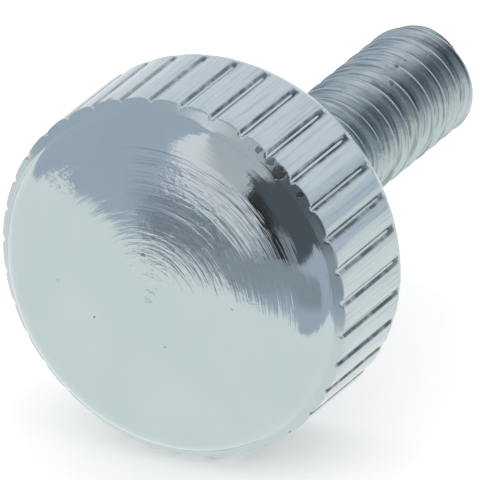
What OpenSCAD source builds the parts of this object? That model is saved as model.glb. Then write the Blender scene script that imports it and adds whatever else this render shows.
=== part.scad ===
// Knurled thumb screw, one turned piece with a crowned head, lying on its side.
//
// The screw's axis is the Y axis: the face of the head looks along -Y and the tip of the
// shank points along +Y. The origin is the middle of the head's flat underside, where the
// shank leaves it. Two ridges of the knurl stand on the ground, one each side of a groove.
// Sizes are in millimetres.

/* [Head] */
// Diameter of the head across the ridges
head_d = 15; // [12:0.5:20]
// Height of the head, from the underside to the middle of the crowned face
head_h = 7.1; // [6.5:0.1:9]
// Height of the knurled band, from the underside to the inner foot of the front bevel
band_h = 5.35; // [3.5:0.05:5.5]
// Radius of the gently crowned face
face_r = 24; // [18:1:60]
// Radius of the rounded edge of the face
face_edge_r = 1.65; // [1:0.05:2]
// Distance of the rounded edge inside the ridges
face_inset = 0.3; // [0.2:0.05:0.5]
// Length of the bevel in front of the knurl, along the axis
front_bevel_l = 0.3; // [0.1:0.05:0.6]
// Depth of the lead chamfer at the back of the knurl
back_chamfer = 0.3; // [0.2:0.02:0.8]
// Angle of the lead chamfer from the screw's axis
back_chamfer_angle = 30; // [18:1:60]

/* [Knurl] */
// Number of grooves around the head
groove_count = 35; // [24:1:48]
// Depth of a groove below the ridges
groove_depth = 0.15; // [0.08:0.01:0.25]
// Width of a groove at its mouth
groove_w = 0.36; // [0.25:0.01:0.5]
// Width of a groove at its bottom
groove_bottom_w = 0.1; // [0.05:0.01:0.2]
// Radius of a ridge's convex back
ridge_r = 3; // [1:0.1:6]

/* [Shank] */
// Outer diameter of the threaded shank
thread_d = 4.8; // [3:0.1:6]
// Threads per inch
threads_per_inch = 24; // [18:1:40]
// Length of the plain neck between the underside of the head and the thread
neck_l = 1; // [0.5:0.1:3]
// Length of the shank, from the underside of the head to the tip
shank_l = 15.9; // [8:0.1:40]
// Chamfer on the rim of the tip
tip_chamfer = 0.3; // [0.1:0.05:0.8]

/* [Hidden] */
$fn = 240;
// Number of steps along each arc of the head's profile
arc_steps = 12;
// What one solid is sunk into the next, or a cut reaches past it
joint = 0.5;
head_r = head_d / 2;
thread_r = thread_d / 2;
// The thread's crest lies just inside the neck, so that the two surfaces don't touch
crest_gap = 0.02;
crest_r = thread_r - crest_gap;
core_r = head_r - groove_depth;
groove_pitch = 360 / groove_count;
// The grooves start from the one that points at the ground
first_groove = 90;

// The middle of the rounded edge, which is tangent to the crowned face
edge_x = head_r - face_inset - face_edge_r;
edge_z = face_r - head_h - sqrt(pow(face_r - face_edge_r, 2) - pow(edge_x, 2));
// Where the crowned face turns into the rounded edge, and where that comes down to the band
face_angle = asin(edge_x / (face_r - face_edge_r));
foot_angle = acos(max(0, (edge_z + band_h) / face_edge_r));
foot_x = edge_x + face_edge_r * sin(foot_angle);
// On a tall head, a straight wall joins the rounded edge to the band
wall_l = edge_z + band_h < 0 ? -edge_z - band_h : 0;
front_bevel_w = head_r - foot_x;
back_chamfer_l = back_chamfer / tan(back_chamfer_angle);
// The blank stands out from the ridges, so that they alone make the side of the knurl
blank_over = 0.2;
blank_r = head_r + blank_over;

// A thread of the standard form: narrow flats at crest and root, and 60 degrees between flanks
mm_per_inch = 25.4;
thread_angle = 60;
pitch = mm_per_inch / threads_per_inch;
flat_w = pitch / 8;
flank_w = pitch / 2 - flat_w;
thread_depth = flank_w / tan(thread_angle / 2);
// Points round the thread's cross section, and steps along each of its turns
section_points = 16;
turn_steps = 16;

// The screw is drawn with its axis upright and laid on its side
module lying() {
    rotate([-90, 0, 0]) children();
}

// Points along an arc of a turned profile, at angles from the -Z direction towards +X
function arc(middle, radius, from, to) = [
    for (i = [0:arc_steps])
        let (angle = from + (to - from) * i / arc_steps)
        middle + radius * [sin(angle), -cos(angle)]
];

// The turned blank of the head, before it is knurled
module head_blank() {
    bevel_slope = front_bevel_l / front_bevel_w;
    chamfer_slope = back_chamfer_l / back_chamfer;
    crowned_face = arc([0, face_r - head_h], face_r, 0, face_angle);
    rounded_edge = arc([edge_x, edge_z], face_edge_r, face_angle, foot_angle);
    wall = wall_l > 0 ? [[foot_x, -band_h]] : [];
    band = [
        [blank_r, -band_h + (blank_r - foot_x) * bevel_slope],
        [blank_r, -back_chamfer_l - blank_over * chamfer_slope],
        [head_r - back_chamfer, 0],
        [0, 0]
    ];
    rotate_extrude()
        polygon(concat(crowned_face, rounded_edge, wall, band));
}

// Cross section of the head: a core with one convex ridge between each two grooves
module knurl_section() {
    circle(r = core_r);
    for (i = [0:groove_count - 1])
        rotate(first_groove + (i + 0.5) * groove_pitch) ridge_section();
}

// Cross section of one ridge, pointing along +X
module ridge_section() {
    half_root = core_r * sin(groove_pitch / 2) - groove_bottom_w / 2;
    half_top = head_r * sin(groove_pitch / 2) - groove_w / 2;
    flank = (half_root - half_top) / groove_depth;
    intersection() {
        translate([head_r - ridge_r, 0]) circle(r = ridge_r);
        polygon([
            [core_r - joint, -half_root - joint * flank],
            [head_r + joint, -half_top + joint * flank],
            [head_r + joint, half_top - joint * flank],
            [core_r - joint, half_root + joint * flank]
        ]);
    }
}

module head() {
    intersection() {
        head_blank();
        translate([0, 0, -head_h - joint])
            linear_extrude(head_h + 2 * joint) knurl_section();
    }
}

// Radius of the thread at an angle of its cross section, in which one turn is one pitch
function thread_radius(angle) =
    let (along = min(angle, 360 - angle) / 360 * pitch)
    crest_r - thread_depth * min(1, max(0, (along - flat_w / 2) / flank_w));

// The thread, which turns its cross section once in each pitch on its way to the tip
module thread() {
    length = shank_l - neck_l + joint;
    turns = length / pitch;
    translate([0, 0, neck_l - joint])
        linear_extrude(
            length, twist = -360 * turns, slices = ceil(turns * turn_steps), $fn = section_points
        )
            polygon([
                for (i = [0:section_points - 1])
                    let (angle = i * 360 / section_points)
                    thread_radius(angle) * [cos(angle), sin(angle)]
            ]);
}

// The blank of the shank stands clear of the thread and has the chamfer of the tip
module shank_blank() {
    blank = thread_r + joint;
    cylinder(r = blank, h = shank_l - tip_chamfer - joint);
    translate([0, 0, shank_l - tip_chamfer - joint])
        cylinder(r1 = blank, r2 = thread_r - tip_chamfer, h = tip_chamfer + joint);
}

// The threaded shank, with a short plain neck under the head
module shank() {
    translate([0, 0, -joint])
        cylinder(r = thread_r, h = neck_l + joint);
    intersection() {
        thread();
        shank_blank();
    }
}

module thumb_screw() {
    color([0.75, 0.78, 0.78])
        lying() {
            head();
            shank();
        }
}

thumb_screw();
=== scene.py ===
import math

import bmesh
import bpy
from mathutils import Matrix, Vector


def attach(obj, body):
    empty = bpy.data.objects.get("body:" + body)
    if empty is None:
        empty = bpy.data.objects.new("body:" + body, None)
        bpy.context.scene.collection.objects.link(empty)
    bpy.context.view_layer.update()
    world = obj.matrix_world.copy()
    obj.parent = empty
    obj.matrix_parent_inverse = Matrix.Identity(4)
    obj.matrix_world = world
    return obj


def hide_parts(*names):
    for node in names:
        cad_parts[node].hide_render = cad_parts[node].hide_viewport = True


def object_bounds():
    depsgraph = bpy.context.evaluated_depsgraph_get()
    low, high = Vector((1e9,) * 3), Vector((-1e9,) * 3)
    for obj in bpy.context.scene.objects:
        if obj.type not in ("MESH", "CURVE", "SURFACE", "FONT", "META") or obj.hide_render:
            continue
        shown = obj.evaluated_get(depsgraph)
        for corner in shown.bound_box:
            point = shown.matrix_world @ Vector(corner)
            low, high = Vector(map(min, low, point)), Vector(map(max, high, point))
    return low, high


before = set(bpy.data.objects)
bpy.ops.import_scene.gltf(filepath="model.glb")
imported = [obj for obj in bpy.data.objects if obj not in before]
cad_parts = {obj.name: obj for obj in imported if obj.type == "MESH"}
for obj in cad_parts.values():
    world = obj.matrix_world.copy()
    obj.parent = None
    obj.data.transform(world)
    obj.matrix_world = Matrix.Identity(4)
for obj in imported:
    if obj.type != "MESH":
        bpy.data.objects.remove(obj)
cad_box = [list(corner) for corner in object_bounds()]

MM = 0.001
MM_PER_METRE = 1000.0

# Sizes of the screw in millimetres. It is shaped upright, with the face down, the underside of
# the head at height 0 and the tip up, and then laid on its side.
HEAD_R = 7.5
HEAD_H = 7.1
BAND_H = 5.35
FACE_R = 24.0
EDGE_R = 1.65
EDGE_INSET = 0.3
FRONT_BEVEL = 0.3
BACK_CHAMFER = 0.3
BACK_CHAMFER_ANGLE = 30.0
GROOVES = 35
GROOVE_DEPTH = 0.15
GROOVE_W = 0.36
GROOVE_BOTTOM_W = 0.1
GROOVE_END = 0.6
RUN_OUT = 0.45
RIDGE_R = 3.0
THREAD_R = 2.4
CREST_R = 2.38
PITCH = 25.4 / 24
NECK = 1.0
THREAD_START = 0.5
SHANK = 15.9
TIP_CHAMFER = 0.3

GROOVE_PITCH = 2 * math.pi / GROOVES
THREAD_ANGLE = 60.0
# How near an end a point lies to be picked with it
END_MARGIN = 0.01
# How far the thread reaches back into the neck, and how far the tip's blank stands out from it
NECK_OVERLAP = 0.4
BLANK_OVER = 0.2

# Steps round the screw of the neck and the tip's blank, and of each turn of the thread
ROUND_STEPS = 144
TURN_STEPS = 72
MERGE_WITHIN = 1e-7
CUT_WITHIN = 1e-8

# The camera's place: degrees round from the front, above the ground and of roll, and metres away
CAMERA_ROUND = 28.9
CAMERA_ABOVE = 24.5
CAMERA_ROLL = -2.04
CAMERA_AWAY = 0.7693
CAMERA_LENS = 1500
# Where it looks: a point on the screw's axis, and how far right and up of it, in millimetres
LOOKS_AT = -5.1
LOOKS_RIGHT = 2.584
LOOKS_UP = 1.504


# ---------------------------------------------------------------- camera


def place_camera():
    azimuth = math.radians(CAMERA_ROUND)
    elevation = math.radians(CAMERA_ABOVE)
    roll = math.radians(CAMERA_ROLL)
    ahead = Vector(
        (
            -math.sin(azimuth) * math.cos(elevation),
            math.cos(azimuth) * math.cos(elevation),
            -math.sin(elevation),
        )
    )
    level = Vector((math.cos(azimuth), math.sin(azimuth), 0))
    upright = level.cross(ahead)
    right = level * math.cos(roll) + upright * math.sin(roll)
    up = right.cross(ahead)
    # The front of the knurl sits left of the picture's middle and a little below it
    front = Vector((0, LOOKS_AT * MM, 0))
    place = front + right * LOOKS_RIGHT * MM + up * LOOKS_UP * MM - ahead * CAMERA_AWAY
    turn = Matrix((right, up, -ahead)).transposed()
    bpy.ops.object.camera_add(location=place, rotation=turn.to_euler())
    camera = bpy.context.object
    camera.data.lens = CAMERA_LENS
    camera.data.clip_start = 0.002
    camera.data.clip_end = 10
    bpy.context.scene.camera = camera


# ---------------------------------------------------------------- modelling by hand


def start_shape(name, add, **sizes):
    """Adds a primitive at its size and place, with nothing else selected, and goes to edit mode."""
    bpy.ops.object.select_all(action="DESELECT")
    add(**sizes)
    piece = bpy.context.object
    piece.name = name
    piece.data.name = name
    bpy.ops.object.mode_set(mode="EDIT")
    bpy.ops.mesh.select_mode(type="VERT")
    return piece


def pick(wanted):
    """Selects the vertices whose place passes the test."""
    mesh = bpy.context.object.data
    shape = bmesh.from_edit_mesh(mesh)
    for edge in shape.edges:
        edge.select = False
    for face in shape.faces:
        face.select = False
    for vertex in shape.verts:
        vertex.select = wanted(vertex.co)
    shape.select_flush(True)
    bmesh.update_edit_mesh(mesh, loop_triangles=False, destructive=False)


def settle_place():
    """Moves the place of the shape that is being edited from its object into its mesh."""
    bpy.ops.object.mode_set(mode="OBJECT")
    bpy.ops.object.transform_apply(location=True)
    bpy.ops.object.mode_set(mode="EDIT")


def draw_out(points):
    """Draws the selected point out along points of a profile, as (radius, height) in millimetres."""
    for (r0, z0), (r1, z1) in zip(points, points[1:]):
        bpy.ops.mesh.extrude_vertices_move(
            TRANSFORM_OT_translate={"value": ((r1 - r0) * MM, 0, (z1 - z0) * MM)}
        )


def finish_shape():
    bpy.ops.mesh.select_all(action="SELECT")
    bpy.ops.mesh.remove_doubles(threshold=MERGE_WITHIN)
    bpy.ops.mesh.normals_make_consistent(inside=False)
    bpy.ops.object.mode_set(mode="OBJECT")


def radius_of(place):
    return math.hypot(place.x, place.y)


# ---------------------------------------------------------------- head


def turning_mark(step):
    """Height of a turning mark in the crowned face, in millimetres, uneven but the same each time."""
    mark = 0.0011
    waves = math.sin(step * 2.4) + math.sin(step * 5.7 + 1.0) + 0.6 * math.sin(step * 0.9 + 2.0)
    return mark * waves


def head_profile():
    """Points of the head's turned profile as (radius, height), from the middle of the face."""
    edge_x = HEAD_R - EDGE_INSET - EDGE_R
    edge_z = FACE_R - HEAD_H - math.sqrt((FACE_R - EDGE_R) ** 2 - edge_x**2)
    face_angle = math.asin(edge_x / (FACE_R - EDGE_R))
    foot_angle = math.acos((edge_z + BAND_H) / EDGE_R)
    foot_x = edge_x + EDGE_R * math.sin(foot_angle)
    points = []
    rings = 62
    for i in range(rings + 1):
        angle = face_angle * i / rings
        lift = turning_mark(i) if 0 < i < rings else 0
        points.append((FACE_R * math.sin(angle), FACE_R - HEAD_H - FACE_R * math.cos(angle) + lift))
    steps = 12
    for i in range(1, steps + 1):
        angle = face_angle + (foot_angle - face_angle) * i / steps
        points.append((edge_x + EDGE_R * math.sin(angle), edge_z - EDGE_R * math.cos(angle)))
    bevel_w = HEAD_R - foot_x
    for part in (0.12, 0.3, 0.45, 0.6, 0.75, 0.9):
        points.append((foot_x + bevel_w * part, -BAND_H + FRONT_BEVEL * part))
    chamfer_l = BACK_CHAMFER / math.tan(math.radians(BACK_CHAMFER_ANGLE))
    front = FRONT_BEVEL - BAND_H
    points.append((HEAD_R - 0.012, front + 0.02))
    points.append((HEAD_R, front + 0.08))
    for part in (0.25, 0.5, 0.75):
        points.append((HEAD_R, front * (1 - part) - chamfer_l * part))
    for part in (0, 0.25, 0.5, 0.7, 0.85, 0.95, 1):
        points.append((HEAD_R, -GROOVE_END - RUN_OUT * (1 - part)))
    for part in (0.08, 0.25, 0.42, 0.6, 0.8, 0.94):
        points.append((HEAD_R - BACK_CHAMFER * part, -chamfer_l * (1 - part)))
    points.append((HEAD_R - BACK_CHAMFER - 0.02, -0.004))
    points.append((HEAD_R - BACK_CHAMFER - 0.06, 0))
    for radius in (6.4, 4.6, 2.9, 0):
        points.append((radius, 0))
    return points


def knurl_radius(offset, height):
    """Radius of the knurl at a distance along the rim from the middle of a groove, in millimetres."""
    half_pitch = GROOVE_PITCH * HEAD_R / 2
    from_ridge = half_pitch - offset
    ridge = HEAD_R - RIDGE_R + math.sqrt(RIDGE_R**2 - from_ridge**2)
    # The groove runs out in a round end before it reaches the back of the head
    run_out = min(1, max(0, (height + GROOVE_END + RUN_OUT) / RUN_OUT))
    share = math.sqrt(1 - run_out**2)
    if share == 0:
        return ridge
    bottom = HEAD_R - GROOVE_DEPTH * share
    slope = (offset - GROOVE_BOTTOM_W / 2 * share) / (GROOVE_W / 2 - GROOVE_BOTTOM_W / 2)
    flank = bottom + GROOVE_DEPTH * slope
    # Rounded bottom, and a small round where the flank meets the ridge
    soft = 0.012
    low = 0.5 * (flank + bottom + math.hypot(flank - bottom, soft))
    return 0.5 * (low + ridge - math.hypot(low - ridge, soft))


def head_columns():
    """Places of the columns over one groove and one ridge, along the rim in millimetres."""
    half_pitch = GROOVE_PITCH * HEAD_R / 2
    half = [0, 0.045, 0.08, 0.12, 0.155, 0.185, 0.23, 0.35, 0.5]
    return [-half_pitch] + [-x for x in reversed(half[1:])] + half + [half_pitch]


def make_head():
    head = start_shape("knurled_head", bpy.ops.mesh.primitive_plane_add, size=MM)
    profile = head_profile()
    # The plane shrinks to one point, which is drawn out along the profile
    bpy.ops.mesh.merge(type="CENTER")
    bpy.ops.transform.translate(value=(0, 0, profile[0][1] * MM))
    draw_out(profile)
    # The profile is spun over the width of one groove and its ridge
    bpy.ops.mesh.select_all(action="SELECT")
    columns = head_columns()
    for here, there in zip(columns, columns[1:]):
        bpy.ops.mesh.spin(steps=1, angle=(there - here) / HEAD_R, center=(0, 0, 0), axis=(0, 0, 1))
    # The groove and the sides of the ridge are pushed in towards the axis, row by row
    mesh = bpy.context.object.data
    shape = bmesh.from_edit_mesh(mesh)
    # Which way round the spin went
    turn_sign = 1 if max(math.atan2(v.co.y, v.co.x) for v in shape.verts) > GROOVE_PITCH / 2 else -1
    near = 0.004 * MM
    rows = [(r, z) for r, z in profile if -BAND_H < z < 0 and r > HEAD_R - GROOVE_DEPTH]
    for offset in columns:
        angle = turn_sign * (offset - columns[0]) / HEAD_R
        for r, z in rows:
            target = knurl_radius(abs(offset), z)
            if r <= target:
                continue
            at = Vector((r * math.cos(angle), r * math.sin(angle), z)) * MM
            pick(lambda place: (place - at).length < near)
            factor = target / r
            bpy.ops.transform.resize(value=(factor, factor, 1), center_override=(0, 0, 0))
    # The finished groove and ridge are repeated round the head
    bpy.ops.mesh.select_all(action="SELECT")
    bpy.ops.mesh.spin(
        steps=GROOVES - 1,
        dupli=True,
        angle=GROOVE_PITCH * (GROOVES - 1) * turn_sign,
        center=(0, 0, 0),
        axis=(0, 0, 1),
    )
    finish_shape()
    return head


# ---------------------------------------------------------------- shank


def make_shank():
    # Half of the flat at the root and of the one at the crest, and a flank's width and depth
    half_flat = PITCH / 16
    flank = PITCH / 2 - 2 * half_flat
    depth = flank / math.tan(math.radians(THREAD_ANGLE / 2))
    root = CREST_R - depth
    # One pitch of the thread as (radius, height above its start), with small rounds at the crest
    half = [
        (root, 0),
        (root + 0.004, half_flat * 0.6),
        (root + 0.03, half_flat * 1.15),
        (root + depth * 0.35, half_flat + flank * 0.35),
        (root + depth * 0.7, half_flat + flank * 0.7),
        (CREST_R - 0.045, half_flat + flank * 0.93),
        (CREST_R - 0.01, half_flat + flank + 0.012),
        (CREST_R, PITCH / 2 - 0.02),
    ]
    outline = half + [(r, PITCH - z) for r, z in reversed(half)]
    shank = start_shape("threaded_shank", bpy.ops.mesh.primitive_plane_add, size=MM)
    bpy.ops.mesh.merge(type="CENTER")
    turns = math.ceil(SHANK / PITCH) + 1
    # The screw operator works its way down, so the outline starts above the tip
    start = THREAD_START - PITCH / 2 + turns * PITCH
    bpy.ops.transform.translate(value=(outline[0][0] * MM, 0, start * MM))
    draw_out(outline)
    bpy.ops.mesh.select_all(action="SELECT")
    bpy.ops.mesh.screw(steps=TURN_STEPS, turns=turns + 1, center=(0, 0, 0), axis=(0, 0, 1))
    bpy.ops.mesh.select_all(action="SELECT")
    # It makes a left-handed thread, which is turned over to a right-handed one
    bpy.ops.transform.resize(value=(1, -1, 1), center_override=(0, 0, 0))
    bpy.ops.mesh.remove_doubles(threshold=MERGE_WITHIN)
    # Both ends are cut square and closed
    for height, normal in ((NECK - NECK_OVERLAP, (0, 0, -1)), (SHANK, (0, 0, 1))):
        bpy.ops.mesh.select_all(action="SELECT")
        bpy.ops.mesh.bisect(
            plane_co=(0, 0, height * MM),
            plane_no=normal,
            use_fill=True,
            clear_outer=True,
            threshold=CUT_WITHIN,
        )
    finish_shape()
    # A turned blank with a chamfered tip trims the thread's end
    blank = start_shape(
        "tip_blank",
        bpy.ops.mesh.primitive_cylinder_add,
        vertices=ROUND_STEPS,
        radius=(THREAD_R + BLANK_OVER) * MM,
        depth=SHANK * MM,
        location=(0, 0, SHANK / 2 * MM),
    )
    bpy.ops.mesh.select_all(action="DESELECT")
    settle_place()
    tip = (SHANK - END_MARGIN) * MM
    pick(lambda place: place.z > tip)
    bpy.ops.mesh.extrude_region_move(TRANSFORM_OT_translate={"value": (0, 0, 0)})
    factor = (THREAD_R - TIP_CHAMFER) / (THREAD_R + BLANK_OVER)
    bpy.ops.transform.resize(value=(factor, factor, 1), center_override=(0, 0, 0))
    pick(lambda place: place.z > tip and radius_of(place) > THREAD_R * MM)
    bpy.ops.transform.translate(value=(0, 0, -(TIP_CHAMFER + BLANK_OVER) * MM))
    finish_shape()
    bpy.ops.object.select_all(action="DESELECT")
    shank.select_set(True)
    bpy.context.view_layer.objects.active = shank
    trim = shank.modifiers.new("trim", "BOOLEAN")
    trim.operation = "INTERSECT"
    trim.solver = "EXACT"
    trim.object = blank
    bpy.ops.object.modifier_apply(modifier="trim")
    bpy.data.objects.remove(blank)
    return shank


def make_neck():
    neck = start_shape(
        "neck",
        bpy.ops.mesh.primitive_cylinder_add,
        vertices=ROUND_STEPS,
        radius=THREAD_R * MM,
        depth=(NECK + NECK_OVERLAP) * MM,
        location=(0, 0, (NECK - NECK_OVERLAP) / 2 * MM),
    )
    settle_place()
    mesh = bpy.context.object.data
    shape = bmesh.from_edit_mesh(mesh)
    for edge in shape.edges:
        edge.select = all(v.co.z > (NECK - END_MARGIN) * MM for v in edge.verts)
    bmesh.update_edit_mesh(mesh)
    bpy.ops.mesh.select_mode(type="EDGE")
    neck_round = 0.06
    bpy.ops.mesh.bevel(offset=neck_round * MM, segments=3, affect="EDGES")
    finish_shape()
    return neck


def turn_piece(piece, turn):
    bpy.ops.object.select_all(action="DESELECT")
    piece.select_set(True)
    bpy.context.view_layer.objects.active = piece
    piece.rotation_euler = turn
    bpy.ops.object.transform_apply(location=False, rotation=True, scale=False)


def turn_upright(piece, angle):
    """Turns an upright piece about its own axis."""
    turn_piece(piece, (0, 0, angle))


def lay_down(piece):
    """Turns an upright piece onto its side, with its face to -Y."""
    turn_piece(piece, (math.radians(-90), 0, 0))


# ---------------------------------------------------------------- studio


def add_math(tree, operation, *values, clamp=False):
    node = tree.nodes.new("ShaderNodeMath")
    node.operation = operation
    node.use_clamp = clamp
    for socket, value in zip(node.inputs, values):
        if isinstance(value, (int, float)):
            socket.default_value = value
        else:
            tree.links.new(value, socket)
    return node.outputs[0]


def soft_step(tree, value, low, high):
    node = tree.nodes.new("ShaderNodeMapRange")
    node.interpolation_type = "SMOOTHSTEP"
    tree.links.new(value, node.inputs["Value"])
    node.inputs["From Min"].default_value = low
    node.inputs["From Max"].default_value = high
    return node.outputs["Result"]


def between(tree, value, start, full, fade, end):
    """A mask that rises from start to full and falls again from fade to end."""
    return add_math(
        tree, "MULTIPLY", soft_step(tree, value, start, full), soft_step(tree, value, end, fade)
    )


def mix_colour(tree, factor, under, over):
    node = tree.nodes.new("ShaderNodeMix")
    node.data_type = "RGBA"
    tree.links.new(factor, node.inputs["Factor"])
    for socket, value in ((node.inputs["A"], under), (node.inputs["B"], over)):
        if isinstance(value, tuple):
            socket.default_value = (*value, 1)
        else:
            tree.links.new(value, socket)
    return node.outputs["Result"]


def light_studio():
    """White for the camera, a plain pale dome for diffuse light, and a drawn room for the metal to
    reflect, whose areas are placed for the main view."""
    world = bpy.data.worlds.new("studio")
    bpy.context.scene.world = world
    world.use_nodes = True
    tree = world.node_tree
    place = tree.nodes.new("ShaderNodeTexCoord")
    split = tree.nodes.new("ShaderNodeSeparateXYZ")
    tree.links.new(place.outputs["Generated"], split.inputs[0])
    x, y, z = split.outputs
    # Bearing in degrees from the front towards the right, and height above the horizon
    degrees = 57.2958
    ahead = add_math(tree, "MULTIPLY", y, -1.0)
    bearing = add_math(tree, "MULTIPLY", add_math(tree, "ARCTAN2", x, ahead), degrees)
    height = add_math(tree, "MULTIPLY", add_math(tree, "ARCSINE", z), degrees)

    def window(left, right, bottom, top, soft):
        sides = between(tree, bearing, left - soft, left + soft, right - soft, right + soft)
        ends = between(tree, height, bottom - soft, bottom + soft, top - soft, top + soft)
        return add_math(tree, "MULTIPLY", sides, ends)

    # Grey walls in front and overhead, and pale ones behind
    behind = soft_step(tree, y, 0.6, 0.74)
    room = mix_colour(tree, behind, (0.54, 0.58, 0.68), (0.92, 0.92, 0.98))
    room = mix_colour(tree, window(122, 176, -15, 14, 7), room, (0.66, 0.71, 0.82))
    # A darker band beyond the paper
    room = mix_colour(tree, window(-29, 75, -21, -5, 3), room, (0.37, 0.40, 0.46))
    room = mix_colour(tree, window(-27, -10, -13, -9.5, 1.5), room, (0.24, 0.27, 0.32))

    def line(steepness, start, soft):
        """Where the height is above a leaning line of this steepness, from its start at the front."""
        over = add_math(tree, "SUBTRACT", height, add_math(tree, "MULTIPLY", bearing, steepness))
        return soft_step(tree, over, start - soft, start + soft)

    # One tall soft lamp, brightest along its lower edge, whose light spills to the right
    lamp_left = soft_step(tree, bearing, -23, -20)
    lamp_foot = add_math(tree, "MULTIPLY", line(-0.62, -15.7, 1.2), lamp_left)
    leaning = add_math(tree, "SUBTRACT", bearing, add_math(tree, "MULTIPLY", height, 0.2))
    spill = soft_step(tree, leaning, -19, -5)
    spill = add_math(tree, "MULTIPLY", spill, soft_step(tree, height, -7, 0))
    lamp = mix_colour(tree, spill, (1.03, 0.97, 1.01), (0.63, 0.63, 0.68))
    lamp_foot = add_math(tree, "MULTIPLY", lamp_foot, soft_step(tree, bearing, 95, 80))
    clear = add_math(tree, "MAXIMUM", soft_step(tree, bearing, -3, -6), line(0.27, -13, 1.5))
    room = mix_colour(tree, add_math(tree, "MULTIPLY", lamp_foot, clear), room, lamp)
    # The dark place of the camera and its stand, which widens to the right
    dark = add_math(tree, "MULTIPLY", line(0.27, -13, 1.5), soft_step(tree, bearing, -5, -2))
    above = add_math(tree, "SUBTRACT", 1.0, line(1.15, 6, 2.5))
    above = add_math(tree, "MULTIPLY", above, soft_step(tree, height, 56, 48))
    dark = add_math(tree, "MULTIPLY", dark, above)
    dark = add_math(tree, "MULTIPLY", dark, soft_step(tree, bearing, 105, 92))
    paler = soft_step(tree, bearing, 14, 32)
    place_colour = mix_colour(tree, paler, (0.035, 0.035, 0.04), (0.11, 0.12, 0.14))
    place_colour = mix_colour(tree, window(20, 36, -6, 8, 2.5), place_colour, (0.34, 0.36, 0.41))
    room = mix_colour(tree, dark, room, place_colour)
    back = tree.nodes["Background"]
    path = tree.nodes.new("ShaderNodeLightPath")
    glossy = mix_colour(tree, path.outputs["Is Glossy Ray"], (1.08, 1.08, 1.08), room)
    seen = mix_colour(tree, path.outputs["Is Camera Ray"], glossy, (1.0, 1.0, 1.0))
    tree.links.new(seen, back.inputs["Color"])


def lay_paper():
    """A sheet of white paper under the screw, with its front cut off along two lines."""
    ground = cad_box[0][2]
    sheet = start_shape(
        "paper_sheet", bpy.ops.mesh.primitive_plane_add, size=0.6, location=(0, 0.2, ground)
    )
    bpy.ops.mesh.select_all(action="DESELECT")
    settle_place()
    for point, outward in (((-0.012, -0.038), (0.41, -0.91)), ((0.0032, -0.0248), (0.71, -0.71))):
        bpy.ops.mesh.select_all(action="SELECT")
        bpy.ops.mesh.bisect(
            plane_co=(*point, ground),
            plane_no=(*outward, 0),
            use_fill=False,
            clear_outer=True,
            threshold=CUT_WITHIN,
        )
    bpy.ops.object.mode_set(mode="OBJECT")
    paper = bpy.data.materials.new("white_paper")
    paper.use_nodes = True
    shader = paper.node_tree.nodes["Principled BSDF"]
    shader.inputs["Base Color"].default_value = (0.93, 0.93, 0.93, 1)
    shader.inputs["Roughness"].default_value = 0.9
    shader.inputs["Specular IOR Level"].default_value = 0.1
    # It keeps the screw's shadow, is lifted to white for the camera, and shows as white in the metal
    tree = paper.node_tree
    path = tree.nodes.new("ShaderNodeLightPath")
    lift = tree.nodes.new("ShaderNodeEmission")
    lift_colour = mix_colour(tree, path.outputs["Is Camera Ray"], (0, 0, 0), (0.2, 0.2, 0.2))
    tree.links.new(lift_colour, lift.inputs["Color"])
    lifted = tree.nodes.new("ShaderNodeAddShader")
    tree.links.new(shader.outputs[0], lifted.inputs[0])
    tree.links.new(lift.outputs[0], lifted.inputs[1])
    white = tree.nodes.new("ShaderNodeEmission")
    white.inputs["Color"].default_value = (1, 1, 1, 1)
    either = tree.nodes.new("ShaderNodeMixShader")
    tree.links.new(path.outputs["Is Glossy Ray"], either.inputs[0])
    tree.links.new(lifted.outputs[0], either.inputs[1])
    tree.links.new(white.outputs[0], either.inputs[2])
    tree.links.new(either.outputs[0], tree.nodes["Material Output"].inputs["Surface"])
    sheet.data.materials.append(paper)


# ---------------------------------------------------------------- plated steel


def new_group(name, inputs, outputs):
    """A shader node group with named inputs, as (name, type, value), and named outputs."""
    group = bpy.data.node_groups.new(name, "ShaderNodeTree")
    for label, kind, value in inputs:
        socket = group.interface.new_socket(label, in_out="INPUT", socket_type=kind)
        if value is not None:
            socket.default_value = value
    for label, kind in outputs:
        group.interface.new_socket(label, in_out="OUTPUT", socket_type=kind)
    return group, group.nodes.new("NodeGroupInput").outputs, group.nodes.new("NodeGroupOutput").inputs


def add_noise(tree, vector, scale, detail=2.0, roughness=0.5):
    node = tree.nodes.new("ShaderNodeTexNoise")
    tree.links.new(vector, node.inputs["Vector"])
    for label, value in (("Scale", scale), ("Detail", detail), ("Roughness", roughness)):
        if isinstance(value, (int, float)):
            node.inputs[label].default_value = value
        else:
            tree.links.new(value, node.inputs[label])
    return node.outputs["Fac"]


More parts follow.
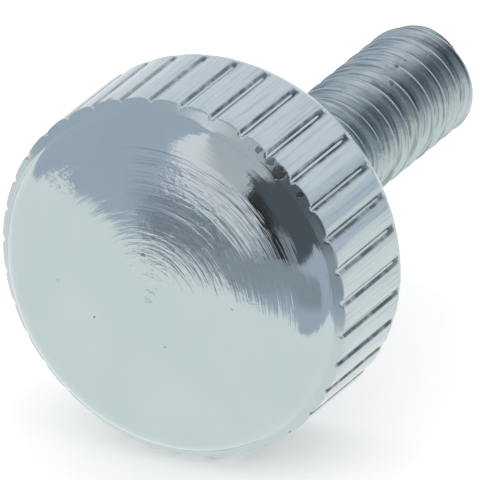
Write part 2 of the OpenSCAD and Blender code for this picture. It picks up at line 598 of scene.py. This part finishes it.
def place_group():
    """Distance from the axis and place along it, in millimetres, and masks of the three parts."""
    group, given, result = new_group(
        "place_on_screw",
        [("Vector", "NodeSocketVector", None)],
        [
            ("Outward", "NodeSocketVector"),
            ("Radius", "NodeSocketFloat"),
            ("Along", "NodeSocketFloat"),
            ("Face", "NodeSocketFloat"),
            ("Knurl", "NodeSocketFloat"),
            ("Thread", "NodeSocketFloat"),
        ],
    )
    across = group.nodes.new("ShaderNodeVectorMath")
    across.operation = "MULTIPLY"
    group.links.new(given["Vector"], across.inputs[0])
    across.inputs[1].default_value = (MM_PER_METRE, 0, MM_PER_METRE)
    length = group.nodes.new("ShaderNodeVectorMath")
    length.operation = "LENGTH"
    group.links.new(across.outputs["Vector"], length.inputs[0])
    outward = group.nodes.new("ShaderNodeVectorMath")
    outward.operation = "NORMALIZE"
    group.links.new(across.outputs["Vector"], outward.inputs[0])
    split = group.nodes.new("ShaderNodeSeparateXYZ")
    group.links.new(given["Vector"], split.inputs[0])
    along = add_math(group, "MULTIPLY", split.outputs["Y"], MM_PER_METRE)
    face = soft_step(group, along, -5.28, -5.36)
    thread = soft_step(group, along, 0.02, 0.1)
    behind_face = add_math(group, "SUBTRACT", 1.0, face)
    knurl = add_math(group, "SUBTRACT", behind_face, thread, clamp=True)
    for label, value in (
        ("Outward", outward.outputs["Vector"]),
        ("Radius", length.outputs["Value"]),
        ("Along", along),
        ("Face", face),
        ("Knurl", knurl),
        ("Thread", thread),
    ):
        group.links.new(value, result[label])
    return group


def streaks_group():
    """Uneven lines drawn round the axis or along it, which come and go."""
    group, given, result = new_group(
        "streaks",
        [
            ("Outward", "NodeSocketVector", None),
            ("Across", "NodeSocketFloat", 0.0),
            ("Round", "NodeSocketFloat", 1.5),
            ("Lines", "NodeSocketFloat", 4.5),
            ("Detail", "NodeSocketFloat", 3.0),
            ("Roughness", "NodeSocketFloat", 0.6),
        ],
        [("Height", "NodeSocketFloat")],
    )
    turned = group.nodes.new("ShaderNodeVectorMath")
    turned.operation = "SCALE"
    group.links.new(given["Outward"], turned.inputs[0])
    group.links.new(given["Round"], turned.inputs["Scale"])
    lift = group.nodes.new("ShaderNodeCombineXYZ")
    group.links.new(add_math(group, "MULTIPLY", given["Across"], given["Lines"]), lift.inputs["Y"])
    both = group.nodes.new("ShaderNodeVectorMath")
    both.operation = "ADD"
    group.links.new(turned.outputs["Vector"], both.inputs[0])
    group.links.new(lift.outputs["Vector"], both.inputs[1])
    lines = add_noise(group, both.outputs["Vector"], 1.0, given["Detail"], given["Roughness"])
    group.links.new(lines, result["Height"])
    return group


def pits_group():
    """Small scattered pits and specks, as a mask."""
    group, given, result = new_group(
        "pits",
        [
            ("Vector", "NodeSocketVector", None),
            ("Density", "NodeSocketFloat", 900.0),
            ("Share", "NodeSocketFloat", 0.2),
            ("Size", "NodeSocketFloat", 0.2),
        ],
        [("Mask", "NodeSocketFloat")],
    )
    bent = ragged(group, given["Vector"], 0.18)
    cells = group.nodes.new("ShaderNodeTexVoronoi")
    group.links.new(bent, cells.inputs["Vector"])
    group.links.new(given["Density"], cells.inputs["Scale"])
    pick_some = add_math(group, "LESS_THAN", cells.outputs["Color"], given["Share"])
    spot = add_math(group, "LESS_THAN", cells.outputs["Distance"], given["Size"])
    group.links.new(add_math(group, "MULTIPLY", pick_some, spot), result["Mask"])
    return group


def blemish_group():
    """One ragged mark at a place given in millimetres, as a mask."""
    group, given, result = new_group(
        "blemish",
        [
            ("Vector", "NodeSocketVector", None),
            ("Centre", "NodeSocketVector", (0, 0, 0)),
            ("Size", "NodeSocketFloat", 0.1),
        ],
        [("Mask", "NodeSocketFloat")],
    )
    scaled = group.nodes.new("ShaderNodeVectorMath")
    scaled.operation = "SCALE"
    group.links.new(ragged(group, given["Vector"], 0.3), scaled.inputs[0])
    scaled.inputs["Scale"].default_value = MM_PER_METRE
    away = group.nodes.new("ShaderNodeVectorMath")
    away.operation = "DISTANCE"
    group.links.new(scaled.outputs["Vector"], away.inputs[0])
    group.links.new(given["Centre"], away.inputs[1])
    share = add_math(group, "DIVIDE", away.outputs["Value"], given["Size"])
    group.links.new(soft_step(group, share, 1.0, 0.7), result["Mask"])
    return group


def ragged(tree, vector, shift):
    """A vector moved about by up to half of shift, in millimetres, so that marks get ragged edges."""
    noise = tree.nodes.new("ShaderNodeTexNoise")
    tree.links.new(vector, noise.inputs["Vector"])
    noise.inputs["Scale"].default_value = 6000.0
    centred = tree.nodes.new("ShaderNodeVectorMath")
    centred.operation = "SUBTRACT"
    tree.links.new(noise.outputs["Color"], centred.inputs[0])
    centred.inputs[1].default_value = (0.5, 0.5, 0.5)
    bent = tree.nodes.new("ShaderNodeVectorMath")
    bent.operation = "MULTIPLY_ADD"
    tree.links.new(centred.outputs["Vector"], bent.inputs[0])
    bent.inputs[1].default_value = (shift * MM,) * 3
    tree.links.new(vector, bent.inputs[2])
    return bent.outputs["Vector"]


def use_group(tree, group, **values):
    node = tree.nodes.new("ShaderNodeGroup")
    node.node_tree = group
    for label, value in values.items():
        socket = node.inputs[label]
        if isinstance(value, (int, float, tuple)):
            socket.default_value = value
        else:
            tree.links.new(value, socket)
    return node.outputs


# Marks in the plate as (place in millimetres, size), on the face and on the front of the knurl
MARKS = (
    ((-4.2, -6.7, -0.1), 0.07),
    ((-2.5, -6.9, -1.3), 0.06),
    ((0.6, -7.0, -2.0), 0.06),
    ((3.5, -6.8, 0.1), 0.06),
    ((-0.2, -7.0, 1.8), 0.1),
    ((-2.6, -4.9, 7.0), 0.14),
    ((4.0, -5.1, 6.2), 0.16),
    ((4.5, -5.1, 5.8), 0.2),
    ((4.9, -5.2, 5.4), 0.3),
    ((5.7, -5.1, 4.6), 0.16),
    ((6.1, -5.2, -3.5), 0.13),
)

# Patches of the face where its finish is frayed
FRAYED = (((0.95, -6.6, 4.9), 0.85), ((-4.1, -6.3, 4.2), 1.0), ((2.4, -6.6, 4.0), 0.7))


# Colours of the plate, of what lies on it, and of shade painted on it
PLATE = (0.52, 0.615, 0.615)
PLATE_DRIFT = (0.55, 0.63, 0.64)
# A random streak tone that also serves as painted shade along the ridges
STREAK_AND_PAINTED_SHADE = (0.36, 0.43, 0.47)
# Painted shade in the sides of the grooves
GROOVE_PAINTED_SHADE = (0.055, 0.07, 0.085)
# Grime streaks in the thread, with painted shade in its roots and down one side
THREAD_GRIME_AND_SHADE = (0.16, 0.19, 0.215)
PIT = (0.12, 0.14, 0.15)
RUST = (0.15, 0.10, 0.10)
# The side of the thread that gets a strip of painted shade, and rust specks near the tip, as a
# direction out from the axis
SHADE_AND_RUST_SIDE = (0.91, 0, 0.41)
# Depth of the surface's relief, in metres
RELIEF = 0.000006


def plate_material():
    steel = bpy.data.materials.new("plated_steel")
    steel.use_nodes = True
    tree = steel.node_tree
    shader = tree.nodes["Principled BSDF"]
    shader.inputs["Metallic"].default_value = 1
    where = tree.nodes.new("ShaderNodeTexCoord").outputs["Object"]
    place = use_group(tree, place_group(), Vector=where)
    streaks = streaks_group()
    outward = place["Outward"]
    rings = use_group(
        tree, streaks, Outward=outward, Across=place["Radius"], Round=1.4, Lines=4.6, Detail=3.0
    )
    drawn = use_group(
        tree, streaks, Outward=outward, Across=place["Along"], Round=60.0, Lines=0.25, Detail=4.0
    )
    # The thread's lines follow its length, and turn to rings on the end of the tip
    reach = add_math(tree, "ADD", place["Along"], place["Radius"])
    wound = use_group(tree, streaks, Outward=outward, Across=reach, Round=1.1, Lines=7.0, Detail=4.0)
    speckle = pits_group()
    pits = use_group(tree, speckle, Vector=where, Density=1000.0, Share=0.07, Size=0.13)["Mask"]
    blemish = blemish_group()
    for centre, size in MARKS:
        mark = use_group(tree, blemish, Vector=where, Centre=centre, Size=size)["Mask"]
        pits = add_math(tree, "MAXIMUM", pits, mark)

    # Colour: a pale plate with a faint drift of tone, and drawn streaks on the knurl, which also
    # stand as painted shade for grey bands along the ridges
    drift = soft_step(tree, add_noise(tree, where, 350.0, 3.0), 0.3, 0.7)
    colour = mix_colour(tree, drift, PLATE, PLATE_DRIFT)
    on_ridges = between(tree, place["Along"], -5.1, -5.0, -0.05, -0.01)
    # Painted shade: the drawn streaks darken the ridges in random grey bands
    streak_shade = add_math(tree, "MULTIPLY", soft_step(tree, drawn["Height"], 0.47, 0.7), on_ridges)
    colour = mix_colour(tree, add_math(tree, "MULTIPLY", streak_shade, 0.55), colour, STREAK_AND_PAINTED_SHADE)
    # Painted shade in the grooves, mottled, lies on their sides and leaves their bottoms light
    side = between(tree, place["Radius"], 7.35, 7.37, 7.44, 7.47)
    in_groove = between(tree, place["Along"], -5.02, -4.94, -0.6, -0.55)
    groove_mottle = soft_step(tree, add_noise(tree, where, 1300.0, 3.0, 0.6), 0.3, 0.6)
    groove_mottle = add_math(tree, "ADD", 0.35, add_math(tree, "MULTIPLY", groove_mottle, 0.55))
    # The painted groove shade is lighter on the left of the knurl and heavier on the right
    split = tree.nodes.new("ShaderNodeSeparateXYZ")
    tree.links.new(outward, split.inputs[0])
    rightward = soft_step(tree, split.outputs["X"], -0.5, 0.3)
    heavier_to_right = add_math(tree, "ADD", 0.5, add_math(tree, "MULTIPLY", rightward, 0.5))
    # Painted shade: the groove sides are darkened, patchily and more on the right
    groove_shade = add_math(tree, "MULTIPLY", add_math(tree, "MULTIPLY", side, in_groove), groove_mottle)
    groove_shade = add_math(tree, "MULTIPLY", groove_shade, heavier_to_right)
    colour = mix_colour(tree, groove_shade, colour, GROOVE_PAINTED_SHADE)
    # Grime streaks in the thread, with painted shade towards its root and in a strip down one side,
    # and a few rust specks
    root = soft_step(tree, place["Radius"], 2.3, 1.8)
    wound_in = soft_step(tree, wound["Height"], 0.48, 0.64)
    grime_and_shade = add_math(tree, "ADD", add_math(tree, "MULTIPLY", root, 0.3), wound_in)
    side_facing = tree.nodes.new("ShaderNodeVectorMath")
    side_facing.operation = "DOT_PRODUCT"
    tree.links.new(outward, side_facing.inputs[0])
    side_facing.inputs[1].default_value = SHADE_AND_RUST_SIDE
    # Painted shade: a darker strip down one side of the thread
    side_shade = add_math(tree, "MULTIPLY", soft_step(tree, side_facing.outputs["Value"], 0.75, 0.95), 0.25)
    grime_and_shade = add_math(tree, "ADD", grime_and_shade, side_shade)
    on_thread = add_math(tree, "MULTIPLY", place["Thread"], 0.62)
    grime_and_shade = add_math(tree, "MULTIPLY", grime_and_shade, on_thread, clamp=True)
    colour = mix_colour(tree, grime_and_shade, colour, THREAD_GRIME_AND_SHADE)
    colour = mix_colour(tree, add_math(tree, "MULTIPLY", pits, 0.7), colour, PIT)
    specks = use_group(tree, speckle, Vector=where, Density=2600.0, Share=0.13, Size=0.3)["Mask"]
    near_tip = soft_step(tree, place["Along"], 9.0, 12.0)
    rusty = soft_step(tree, side_facing.outputs["Value"], 0.6, 0.75)
    rust = add_math(tree, "MULTIPLY", specks, add_math(tree, "MULTIPLY", near_tip, rusty))
    colour = mix_colour(tree, add_math(tree, "MULTIPLY", rust, 0.8), colour, RUST)
    tree.links.new(colour, shader.inputs["Base Color"])

    # Roughness: a bright face, a duller knurl and a duller, handled thread
    rough = add_math(tree, "MULTIPLY", add_noise(tree, where, 1500.0, 4.0, 0.6), 0.06)
    rough = add_math(tree, "ADD", rough, 0.05)
    rough = add_math(tree, "ADD", rough, add_math(tree, "MULTIPLY", place["Knurl"], 0.12))
    rough = add_math(tree, "ADD", rough, add_math(tree, "MULTIPLY", place["Thread"], 0.2))
    tree.links.new(rough, shader.inputs["Roughness"])

    # Relief: rings on the face that fray in patches, drawn lines on the knurl, and a wound grain
    # on the thread
    patch = soft_step(tree, add_noise(tree, where, 330.0, 2.0), 0.42, 0.62)
    for centre, size in FRAYED:
        frayed = use_group(tree, blemish, Vector=where, Centre=centre, Size=size)["Mask"]
        patch = add_math(tree, "ADD", patch, add_math(tree, "MULTIPLY", frayed, 1.6))
    fray = add_math(tree, "MULTIPLY", add_noise(tree, where, 2600.0, 3.0, 0.6), patch)
    # The rings are deeper near the middle and near the rim
    middle = add_math(tree, "MULTIPLY", soft_step(tree, place["Radius"], 3.2, 1.6), 2.0)
    rim = add_math(tree, "MULTIPLY", soft_step(tree, place["Radius"], 5.2, 6.2), 3.0)
    deeper = add_math(tree, "ADD", add_math(tree, "ADD", 1.8, middle), rim)
    face_height = add_math(tree, "ADD", add_math(tree, "MULTIPLY", rings["Height"], deeper), fray)
    pip = between(tree, place["Radius"], 0.1, 0.2, 0.25, 0.45)
    face_height = add_math(tree, "ADD", face_height, add_math(tree, "MULTIPLY", pip, 1.8))
    face_height = add_math(tree, "MULTIPLY", face_height, place["Face"])
    # The underside of the head is turned too
    underside = between(tree, place["Along"], -0.05, -0.01, 0.01, 0.03)
    turned = add_math(tree, "MULTIPLY", add_math(tree, "MULTIPLY", rings["Height"], 2.5), underside)
    face_height = add_math(tree, "ADD", face_height, turned)
    knurl_height = add_math(tree, "MULTIPLY", drawn["Height"], on_ridges)
    thread_height = add_math(tree, "ADD", add_noise(tree, where, 4000.0, 3.0, 0.6), wound["Height"])
    thread_height = add_math(tree, "MULTIPLY", thread_height, 1.8)
    thread_height = add_math(tree, "MULTIPLY", thread_height, place["Thread"])
    height = add_math(tree, "ADD", add_math(tree, "ADD", face_height, knurl_height), thread_height)
    height = add_math(tree, "SUBTRACT", height, add_math(tree, "MULTIPLY", pits, 0.6))
    bump = tree.nodes.new("ShaderNodeBump")
    bump.inputs["Strength"].default_value = 1
    bump.inputs["Distance"].default_value = RELIEF
    tree.links.new(height, bump.inputs["Height"])
    tree.links.new(bump.outputs["Normal"], shader.inputs["Normal"])
    return steel


# ---------------------------------------------------------------- run

place_camera()
head = make_head()
turn_upright(head, GROOVE_PITCH / 4)
shank = make_shank()
neck = make_neck()

bpy.ops.object.select_all(action="DESELECT")
for piece in (head, shank, neck):
    piece.select_set(True)
bpy.context.view_layer.objects.active = head
bpy.ops.object.join()
screw = head
screw.name = "knurled_thumb_screw"
lay_down(screw)
bpy.ops.object.shade_smooth_by_angle(angle=math.radians(35))
screw.data.materials.clear()
screw.data.materials.append(plate_material())

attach(screw, "root")
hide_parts("thumb_screw")

lay_paper()
light_studio()
bpy.context.scene.view_settings.view_transform = "Standard"
